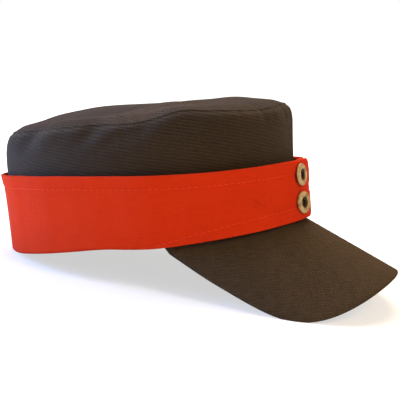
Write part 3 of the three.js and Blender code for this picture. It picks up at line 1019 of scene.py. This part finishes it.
def make_weave():
    group = bpy.data.node_groups.new("woven_threads", "ShaderNodeTree")
    face = group.interface
    face.new_socket("Cut", in_out="INPUT", socket_type="NodeSocketVector")
    for name, value in WEAVE_INPUTS:
        face.new_socket(name, in_out="INPUT", socket_type="NodeSocketFloat").default_value = value
    for name in ("Height", "Shade"):
        face.new_socket(name, in_out="OUTPUT", socket_type="NodeSocketFloat")
    start = new_node(group, "NodeGroupInput")
    finish = new_node(group, "NodeGroupOutput")
    split = new_node(group, "ShaderNodeSeparateXYZ")
    cut = start.outputs["Cut"]
    group.links.new(cut, split.inputs[0])
    along, across = split.outputs["X"], split.outputs["Y"]
    wobble = calc(group, "MULTIPLY", stretched_noise(group, cut, WOBBLE_WAVES), WOBBLE)
    rib_place = calc(group, "DIVIDE", calc(group, "ADD", across, wobble), start.outputs["Rib spacing"])
    rib = calc(group, "SINE", calc(group, "MULTIPLY", rib_place, 2 * math.pi))
    thread_turn = calc(group, "DIVIDE", 2 * math.pi, start.outputs["Thread spacing"])
    warp = calc(group, "SINE", calc(group, "MULTIPLY", along, thread_turn))
    weft = calc(group, "SINE", calc(group, "MULTIPLY", across, thread_turn))
    crossing = calc(group, "MULTIPLY", warp, weft)
    slub = calc(group, "MULTIPLY", stretched_noise(group, cut, SLUB_WAVES, SLUB_DETAIL), SLUB_SHARE)
    cross_noise = stretched_noise(group, cut, CROSS_SLUB_WAVES, SLUB_DETAIL)
    cross_slub = calc(group, "MULTIPLY", cross_noise, 1 - SLUB_SHARE)
    uneven = calc(group, "ADD", slub, cross_slub)
    patchy = calc(group, "SUBTRACT", stretched_noise(group, cut, PATCH_WAVES), PATCH_FLOOR)
    ribbed = calc(group, "MULTIPLY", calc(group, "MULTIPLY", rib, patchy), start.outputs["Ribs"])
    fine = calc(group, "MULTIPLY", crossing, FINE_THREADS)
    height = calc(group, "ADD", calc(group, "ADD", ribbed, fine), uneven)
    shaded_ribs = calc(group, "MULTIPLY", ribbed, RIB_SHADE)
    shade = calc(group, "ADD", shaded_ribs, calc(group, "ADD", uneven, fine))
    set_inputs(group, finish, {"Height": height, "Shade": shade})
    return group


weave = make_weave()
print("weave group with", len(weave.nodes), "nodes")

# %% [markdown]
# ## The cloth materials
# All cloths are matt with a faint sheen of loose fibres. The colour goes from a darker to a lighter tone
# with the threads' shade and slowly over the whole cut, as washed cotton does, and along the top's longer
# fold it is painted paler, as a highlight of sheen.
# The one canvas is painted in three tones: darkest on the crown's side, as shade, and lighter on the top
# and the peak, as light from above; the side also has the most sheen. The bump is only as high as a thread,
# because the folds and hems are modelled.

# %% Make a cloth material
# How much paler the painted sheen highlight makes the cloth where the attribute marks it.
SHEEN_HIGHLIGHT_PALER = 0.45
MOTTLE_WAVES = (22, 30, 1)
MOTTLE_DETAIL = 3.0
MOTTLE_MIDDLE = 0.5
CLOTH_ROUGHNESS = 0.88
CLOTH_GLOSS = 0.04
SHEEN_ROUGHNESS = 0.75


def cloth_material(name, dark, light, rib, thread, ribs, turn, bump_height, sheen, mottle):
    material, tree, shader = new_material(name)
    cut = new_node(tree, "ShaderNodeUVMap").outputs["UV"]
    grain = new_node(tree, "ShaderNodeMapping")
    set_inputs(tree, grain, {"Vector": cut, "Rotation": (0, 0, math.radians(turn))})
    threads = new_node(tree, "ShaderNodeGroup", node_tree=weave)
    set_inputs(tree, threads, {
        "Cut": grain.outputs["Vector"], "Rib spacing": rib, "Thread spacing": thread, "Ribs": ribs,
    })
    clouds = stretched_noise(tree, cut, MOTTLE_WAVES, MOTTLE_DETAIL)
    slow = calc(tree, "MULTIPLY", calc(tree, "SUBTRACT", clouds, MOTTLE_MIDDLE), mottle)
    # The marked fold of the top is painted paler, as a highlight of sheen.
    sheen_highlight_places = new_node(tree, "ShaderNodeAttribute", attribute_name="painted_sheen").outputs["Fac"]
    sheen_highlight = calc(tree, "MULTIPLY", sheen_highlight_places, SHEEN_HIGHLIGHT_PALER)
    tone = calc(tree, "ADD", calc(tree, "ADD", threads.outputs["Shade"], slow), sheen_highlight)
    set_inputs(tree, shader, {
        "Base Color": mix_colours(tree, tone, (*dark, 1), (*light, 1)),
        "Normal": raised(tree, threads.outputs["Height"], bump_height),
        "Roughness": CLOTH_ROUGHNESS, "Specular IOR Level": CLOTH_GLOSS,
        "Sheen Weight": sheen, "Sheen Roughness": SHEEN_ROUGHNESS,
    })
    return material


# One canvas in three painted tones: the top and the peak are painted lighter, as light from above, and the
# crown's side darker, as shade.
TOP_LIT_DARK = (0.0120, 0.0080, 0.0046)
TOP_LIT_LIGHT = (0.0485, 0.0332, 0.0218)
SIDE_SHADED_DARK = (0.0066, 0.0036, 0.0008)
SIDE_SHADED_LIGHT = (0.0325, 0.0192, 0.0068)
PEAK_LIT_DARK = (0.0105, 0.0074, 0.0040)
PEAK_LIT_LIGHT = (0.0685, 0.0472, 0.0285)
RED_DARK = (0.345, 0.0142, 0.0011)
RED_LIGHT = (0.49, 0.028, 0.0034)
canvas = cloth_material(
    "brown_canvas_lit", TOP_LIT_DARK, TOP_LIT_LIGHT, rib=0.0021, thread=0.0015, ribs=0.75, turn=14,
    bump_height=0.00028, sheen=0.015, mottle=0.4,
)
side_canvas_shaded = cloth_material(
    "side_canvas_shaded", SIDE_SHADED_DARK, SIDE_SHADED_LIGHT, rib=0.0021, thread=0.0015, ribs=0.85, turn=14,
    bump_height=0.0003, sheen=0.05, mottle=0.4,
)
peak_canvas_lit = cloth_material(
    "peak_canvas_lit", PEAK_LIT_DARK, PEAK_LIT_LIGHT, rib=0.0019, thread=0.0016, ribs=0.15, turn=-40,
    bump_height=0.0003, sheen=0.006, mottle=0.3,
)
red_cloth = cloth_material(
    "red_cotton", RED_DARK, RED_LIGHT, rib=0.0013, thread=0.0008, ribs=0.1, turn=0,
    bump_height=0.00006, sheen=0.008, mottle=0.6,
)
print("cloths:", canvas.name, side_canvas_shaded.name, peak_canvas_lit.name, red_cloth.name)

# %% [markdown]
# ## Thread and horn
# Thread is a plain twisted yarn: red on the hems and dark brown in the buttons, where it is painted darker
# still, as the shade in the dish. The horn is pale and brown in cloudy streaks, with a satin gloss, and its
# dish is painted near black, as the shade inside it. The streaks read Object coordinates, so each button is
# cut from another place of the horn.

# %% Thread and horn materials
THREAD_WAVES = (900, 900, 900)
THREAD_ROUGHNESS = 0.8
THREAD_GLOSS = 0.1
HORN_CLOUD_WAVES = (130, 130, 320)
HORN_CLOUD_DETAIL = 4.0
HORN_CLOUDS = 0.75
HORN_STREAK_WAVES = (900, 500, 160)
HORN_STREAK_DETAIL = 3.0
HORN_STREAKS = 0.35
HORN_BROWN = (0.15, 0.10, 0.045, 1)
HORN_BROWN_TO = 0.4
HORN_PALE = (0.41, 0.33, 0.17, 1)
HORN_PALE_FROM = 0.62
# Near black: the shade inside the dish, painted into the horn's colour.
HORN_DISH_SHADE = (0.020, 0.009, 0.002, 1)
HORN_SMOOTHEST = 0.4
HORN_ROUGHER = 0.3
HORN_GLOSS = 0.3
HORN_GRAIN = 0.0002
HORN_GRAIN_STRENGTH = 0.5


def thread_material(name, dark, light):
    material, tree, shader = new_material(name)
    place = new_node(tree, "ShaderNodeTexCoord").outputs["Object"]
    fibres = stretched_noise(tree, place, THREAD_WAVES)
    set_inputs(tree, shader, {
        "Base Color": mix_colours(tree, fibres, (*dark, 1), (*light, 1)),
        "Roughness": THREAD_ROUGHNESS, "Specular IOR Level": THREAD_GLOSS,
    })
    return material


def horn_material(name):
    material, tree, shader = new_material(name)
    place = new_node(tree, "ShaderNodeTexCoord").outputs["Object"]
    clouds = stretched_noise(tree, place, HORN_CLOUD_WAVES, HORN_CLOUD_DETAIL)
    streaks = stretched_noise(tree, place, HORN_STREAK_WAVES, HORN_STREAK_DETAIL)
    cloudy = calc(tree, "MULTIPLY", clouds, HORN_CLOUDS)
    tone = calc(tree, "ADD", cloudy, calc(tree, "MULTIPLY", streaks, HORN_STREAKS))
    ramp = new_node(tree, "ShaderNodeValToRGB")
    ramp.color_ramp.elements[0].position = HORN_BROWN_TO
    ramp.color_ramp.elements[0].color = HORN_BROWN
    ramp.color_ramp.elements[1].position = HORN_PALE_FROM
    ramp.color_ramp.elements[1].color = HORN_PALE
    tree.links.new(tone, ramp.inputs["Fac"])
    # The dish is painted near black, as its shade.
    dish_shade = new_node(tree, "ShaderNodeAttribute", attribute_name="dish_shade")
    uneven = calc(tree, "MULTIPLY", streaks, HORN_ROUGHER)
    set_inputs(tree, shader, {
        "Base Color": mix_colours(tree, dish_shade.outputs["Fac"], ramp.outputs["Color"], HORN_DISH_SHADE),
        "Roughness": calc(tree, "ADD", uneven, HORN_SMOOTHEST),
        "Normal": raised(tree, streaks, HORN_GRAIN, HORN_GRAIN_STRENGTH),
        "Specular IOR Level": HORN_GLOSS,
    })
    return material


RED_THREAD_DARK = (0.52, 0.032, 0.007)
RED_THREAD_LIGHT = (0.66, 0.062, 0.018)
# The brown thread is dark, and is painted darker still, as the shade in the dish where it lies.
BROWN_THREAD_DARK = (0.008, 0.004, 0.0015)
BROWN_THREAD_LIGHT = (0.024, 0.013, 0.005)
red_thread = thread_material("red_thread", RED_THREAD_DARK, RED_THREAD_LIGHT)
brown_thread = thread_material("brown_thread", BROWN_THREAD_DARK, BROWN_THREAD_LIGHT)
horn = horn_material("horn")


DISH_EDGE = 0.4


def mark_dish_shade(piece, seat):
    """Stores, on each point, how deep in the dish it lies, for the shade painted near black in the middle.
    """
    attribute = piece.data.attributes.new("dish_shade", "FLOAT", "POINT")
    back = seat.inverted()
    for k, vertex in enumerate(piece.data.vertices):
        own = back @ vertex.co
        radius = math.hypot(own.x, own.y) / MM
        attribute.data[k].value = smooth((BUTTON_DISH_RADIUS + DISH_EDGE / 2 - radius) / DISH_EDGE)


for piece, (node, height, turn) in zip(button_pieces, BUTTONS):
    mark_dish_shade(piece, button_seat(height, turn))
print("horn and thread ready")

# %% [markdown]
# ## Dressing the pieces
# Every piece gets its material, rides on the one body that the cap is and takes the place of its plain
# solid.
# The table also lists the finish of each piece.

# %% Materials, bodies and finishes
DRESS = [
    (peak_cloth, peak_canvas_lit, "canvas", "peak"),
    (crown_side_cloth, side_canvas_shaded, "canvas", "crown_side"),
    (crown_top_cloth, canvas, "canvas", "crown_top"),
    (flap_red_cloth, red_cloth, "flap_cloth", "turn_up_flap"),
    (flap_stitches, red_thread, "flap_cloth", None),
    (button_pieces[0], horn, "horn", "button_upper"),
    (button_pieces[1], horn, "horn", "button_lower"),
    (thread_pieces[0], brown_thread, "canvas", None),
    (thread_pieces[1], brown_thread, "canvas", None),
]
for piece, material, slot, node in DRESS:
    piece.data.materials.clear()
    piece.data.materials.append(material)
    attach(piece, "root")
    if node:
        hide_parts(node)
print("dressed:", [row[0].name for row in DRESS])

# %% [markdown]
# ## Table, light and camera
# The cap lies on a wide pale table. To the camera, table and sky fade to the same white, but the light of
# the sky is cool behind the cap and warm ahead of it. A warm lamp stands ahead on the wearer's right, a
# cool one behind gives the back of the crown its bluish tone, and one above lights the top. The camera
# looks at the wearer's right side, a little from the front, and is rolled so that the cap's opening runs
# almost level across the picture.

# %% Table
TABLE_SIZE = 8
TABLE_ROUGHNESS = 0.9
TABLE_LIT = (0.85, 0.85, 0.85, 1)
TABLE_SEEN = (0.4, 0.4, 0.4, 1)
NEAR_TABLE = 0.25
FAR_TABLE = 0.9
NEAR_GLOW = 0.6
FAR_GLOW = 1.0
WHITE = (1, 1, 1, 1)

deselect()
bpy.ops.mesh.primitive_plane_add(size=TABLE_SIZE)
table = bpy.context.object
table.name = "table"
white, tree, shader = new_material("table_white")
place = new_node(tree, "ShaderNodeTexCoord").outputs["Object"]
away = new_node(tree, "ShaderNodeVectorMath", operation="LENGTH")
tree.links.new(place, away.inputs[0])
glow = new_node(tree, "ShaderNodeMapRange", interpolation_type="SMOOTHSTEP")
set_inputs(tree, glow, {
    "Value": away.outputs["Value"], "From Min": NEAR_TABLE, "From Max": FAR_TABLE,
    "To Min": NEAR_GLOW, "To Max": FAR_GLOW,
})
table_seen = new_node(tree, "ShaderNodeLightPath").outputs["Is Camera Ray"]
set_inputs(tree, shader, {
    "Base Color": mix_colours(tree, table_seen, TABLE_LIT, TABLE_SEEN),
    "Roughness": TABLE_ROUGHNESS, "Emission Color": WHITE,
    "Emission Strength": calc(tree, "MULTIPLY", glow.outputs["Result"], table_seen),
})
table.data.materials.append(white)
print("table", TABLE_SIZE, "metres wide")

# %% Sky
SKY_SEEN = 1.0
SKY_LIGHT = 0.57
SKY_COOL = (0.55, 0.75, 1.2, 1)
SKY_WARM = (1, 0.72, 0.42, 1)
SKY_COOL_FROM = -0.9
SKY_WARM_FROM = -0.1

sky = bpy.data.worlds.new("white_sky")
sky.use_nodes = True
tree = sky.node_tree
backdrop = tree.nodes["Background"]
seen = new_node(tree, "ShaderNodeLightPath").outputs["Is Camera Ray"]
heading = new_node(tree, "ShaderNodeSeparateXYZ")
tree.links.new(new_node(tree, "ShaderNodeTexCoord").outputs["Generated"], heading.inputs[0])
ahead = new_node(tree, "ShaderNodeMapRange")
set_inputs(tree, ahead, {
    "Value": heading.outputs["X"], "From Min": SKY_COOL_FROM, "From Max": SKY_WARM_FROM,
})
tint = mix_colours(tree, ahead.outputs["Result"], SKY_COOL, SKY_WARM)
shown = calc(tree, "MULTIPLY", seen, SKY_SEEN - SKY_LIGHT)
set_inputs(tree, backdrop, {
    "Color": mix_colours(tree, seen, tint, WHITE), "Strength": calc(tree, "ADD", shown, SKY_LIGHT),
})
bpy.context.scene.world = sky
bpy.context.scene.view_settings.view_transform = "Standard"
print("sky of strength", SKY_LIGHT)

# %% Camera
VIEW_AROUND = math.radians(18)
VIEW_ABOVE = math.radians(6.2)
VIEW_ROLL = math.radians(5.7)
VIEW_DISTANCE = 750
PIXELS_PER_MM = 1.405
PICTURE = 400
SENSOR = 36
MIDDLE_X = 156.5
MIDDLE_Y = 230.5

towards = Vector((
    math.sin(VIEW_AROUND) * math.cos(VIEW_ABOVE),
    -math.cos(VIEW_AROUND) * math.cos(VIEW_ABOVE),
    math.sin(VIEW_ABOVE),
))
right = Vector((math.cos(VIEW_AROUND), math.sin(VIEW_AROUND), 0))
up = towards.cross(right)
view_right = right * math.cos(VIEW_ROLL) - up * math.sin(VIEW_ROLL)
view_up = right * math.sin(VIEW_ROLL) + up * math.cos(VIEW_ROLL)
turn_down = lay_down.to_3x3().normalized()
eye = bpy.data.cameras.new("camera")
eye.sensor_width = SENSOR
eye.lens = PIXELS_PER_MM * VIEW_DISTANCE / PICTURE * SENSOR
eye.shift_x = (PICTURE / 2 - MIDDLE_X) / PICTURE
eye.shift_y = (MIDDLE_Y - PICTURE / 2) / PICTURE
camera = put_in_scene("camera", eye)
camera_axes = turn_down @ Matrix((view_right, view_up, towards)).transposed()
camera.matrix_world = Matrix.Translation(lay_down @ (towards * VIEW_DISTANCE)) @ camera_axes.to_4x4()
bpy.context.scene.camera = camera
print("camera", [round(x, 3) for x in camera.location], "lens", round(eye.lens, 2))

# %% Lamps
CAP_MIDDLE = Vector((0, 0, 0.06))


def soft_lamp(name, place, size, power, colour):
    light = bpy.data.lights.new(name, "AREA")
    light.shape = "DISK"
    light.size = size
    light.energy = power
    light.color = colour
    lamp = put_in_scene(name, light)
    lamp.location = place
    lamp.rotation_euler = (CAP_MIDDLE - Vector(place)).to_track_quat("-Z", "Y").to_euler()


soft_lamp("key", (1.0, -0.72, 1.15), size=0.6, power=14.3, colour=(1, 0.74, 0.44))
soft_lamp("window", (-1.3, -0.42, 0.5), size=1.0, power=52, colour=(0.265, 0.475, 1))
soft_lamp("over", (-0.2, 0.6, 1.2), size=0.9, power=31, colour=(1, 0.84, 0.68))
